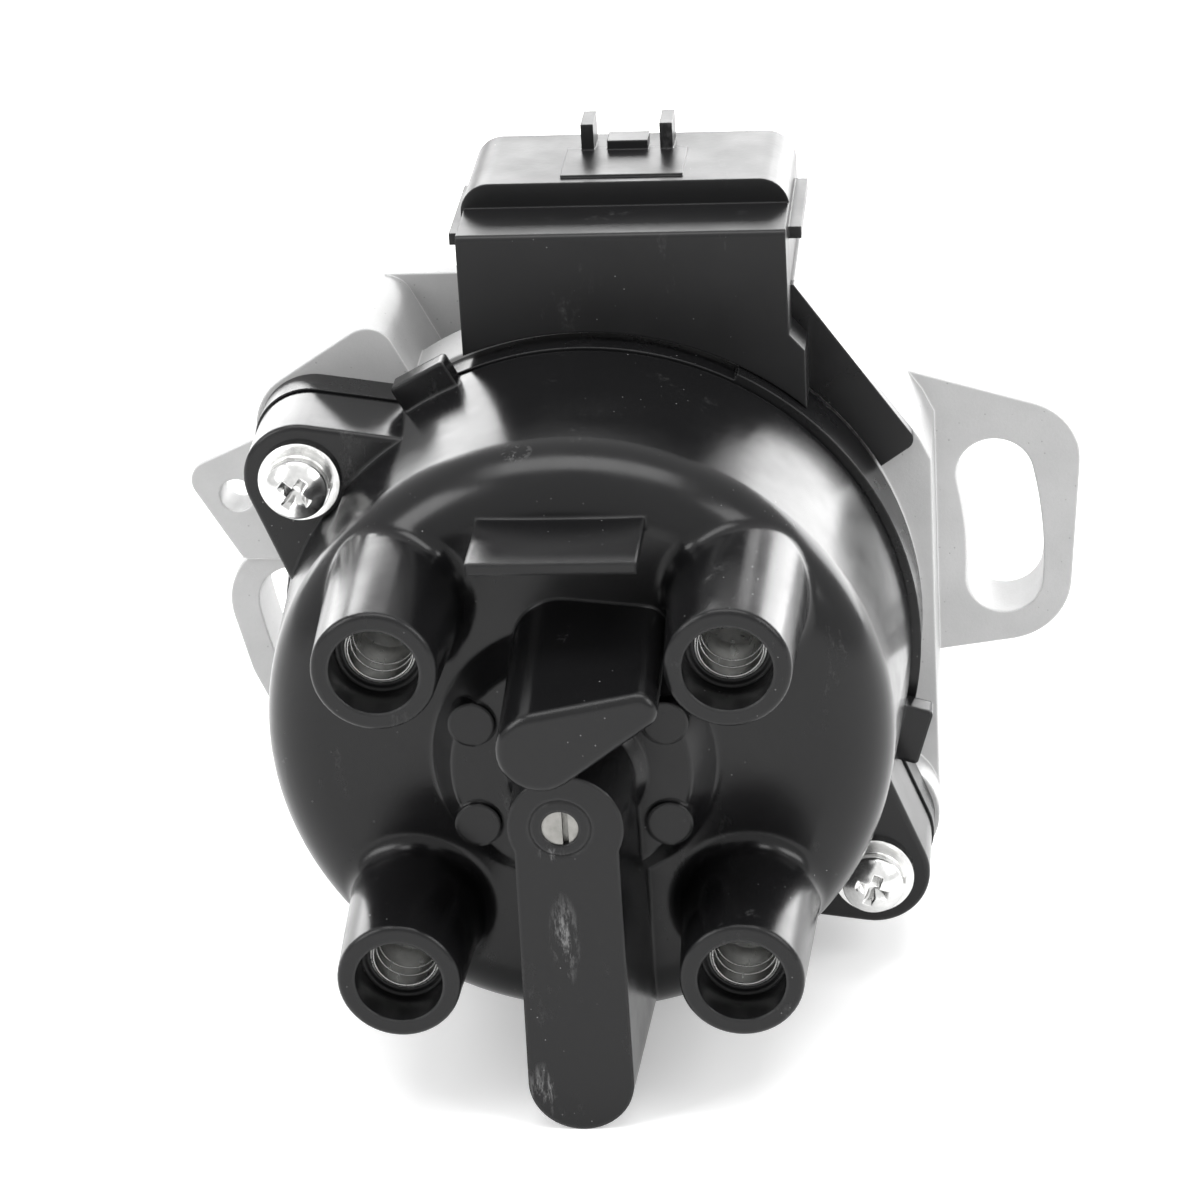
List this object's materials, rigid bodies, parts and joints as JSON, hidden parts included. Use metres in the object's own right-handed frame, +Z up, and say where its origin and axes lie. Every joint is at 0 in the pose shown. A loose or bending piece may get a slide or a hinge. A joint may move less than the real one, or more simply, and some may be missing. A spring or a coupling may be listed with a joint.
{
  "type": "ignition distributor",
  "caption": "Ignition distributor with a domed cap, lead towers, a long high-voltage arm, an igniter with its connector on top and a slotted cast housing with an offset drive dog.",
  "frame": {"origin": "on the shaft's axis, in the mounting face of the flanges", "axes": "+Y along the shaft out of the spigot towards the engine, -Y towards the cap's towers, +Z up towards the connector, +X towards the right flange as seen from the cap"},
  "size_m": [0.1321, 0.1385, 0.1151],
  "materials": {
    "cast_aluminium": "sandblasted casting",
    "cap_plastic": "satin gloss moulding",
    "case_plastic": "fine-grained moulding",
    "ring_plastic": "satin moulding",
    "seal_rubber": "matt rubber",
    "zinc_steel": "bright zinc plating",
    "terminal_metal": "bright machined",
    "stud_metal": "tinned, worn",
    "contact_brass": "bright brass",
    "ground_steel": "ground steel",
    "blued_steel": "blued steel",
    "sintered_bronze": "oiled bronze",
    "core_iron": "varnished laminations",
    "potting_resin": "potting resin",
    "rotor_plastic": "brown moulding",
    "carbon": "pressed carbon",
    "sensor_plastic": "matt moulding",
    "ribbon_film": "amber film",
    "shield_plastic": "matt sheet"
  },
  "bodies": {
    "body": {"housing": "cast_aluminium", "base_ring": "ring_plastic", "cap_seal": "seal_rubber", "cap": "cap_plastic", "arm_conductor": "contact_brass", "centre_stud": "stud_metal", "brush_spring": "ground_steel", "igniter_case": "case_plastic", "module_plate": "ring_plastic", "connector_pins": "terminal_metal", "igniter_screw_1": "zinc_steel", "igniter_screw_2": "zinc_steel", "coil_case": "potting_resin", "coil_core": "core_iron", "coil_contact": "contact_brass", "coil_screw_1": "zinc_steel", "coil_screw_2": "zinc_steel", "optical_sensor": "sensor_plastic", "sensor_screw_1": "zinc_steel", "sensor_screw_2": "zinc_steel", "sensor_ribbon": "ribbon_film", "dust_shield": "shield_plastic", "bearing_outer_ring": "ground_steel", "oil_seal": "seal_rubber", "rear_bush": "sintered_bronze", "spigot_ring": "seal_rubber", "tower_terminal_1": "terminal_metal", "tower_terminal_2": "terminal_metal", "tower_terminal_3": "terminal_metal", "tower_terminal_4": "terminal_metal", "cap_screw_1": "zinc_steel", "spring_washer_1": "zinc_steel", "flat_washer_1": "zinc_steel", "cap_screw_2": "zinc_steel", "spring_washer_2": "zinc_steel", "flat_washer_2": "zinc_steel"},
    "rotating": {"shaft": "ground_steel", "bearing_inner_ring": "ground_steel", "retaining_ring": "blued_steel", "signal_disc": "blued_steel", "rotor": "rotor_plastic", "rotor_contact": "contact_brass", "rotor_screw": "zinc_steel", "thrust_washer": "blued_steel", "drive_coupling": "ground_steel", "coupling_pin": "ground_steel", "coupling_spring_ring": "blued_steel"},
    "ball_cage": {"bearing_balls": "ground_steel", "bearing_cage": "contact_brass"},
    "brush": {"carbon_brush": "carbon"}
  },
  "joints": [
    {"name": "shaft_spin", "type": "hinge", "parent": "body", "child": "rotating", "pos_m": [0, 0, 0], "axis": [0, 1, 0], "continuous": true},
    {"name": "cage_spin", "type": "hinge", "parent": "body", "child": "ball_cage", "pos_m": [0, 0, 0], "axis": [0, 1, 0], "continuous": true},
    {"name": "brush_slide", "type": "slide", "parent": "body", "child": "brush", "axis": [0, -1, 0], "range_m": [0, 0.002], "stiffness_N_per_m": 300, "springref_m": -0.003, "deforming": ["brush_spring"]}
  ],
  "couplings": [
    {"joint": "cage_spin", "follows": "shaft_spin", "ratio": 0.38}
  ]
}
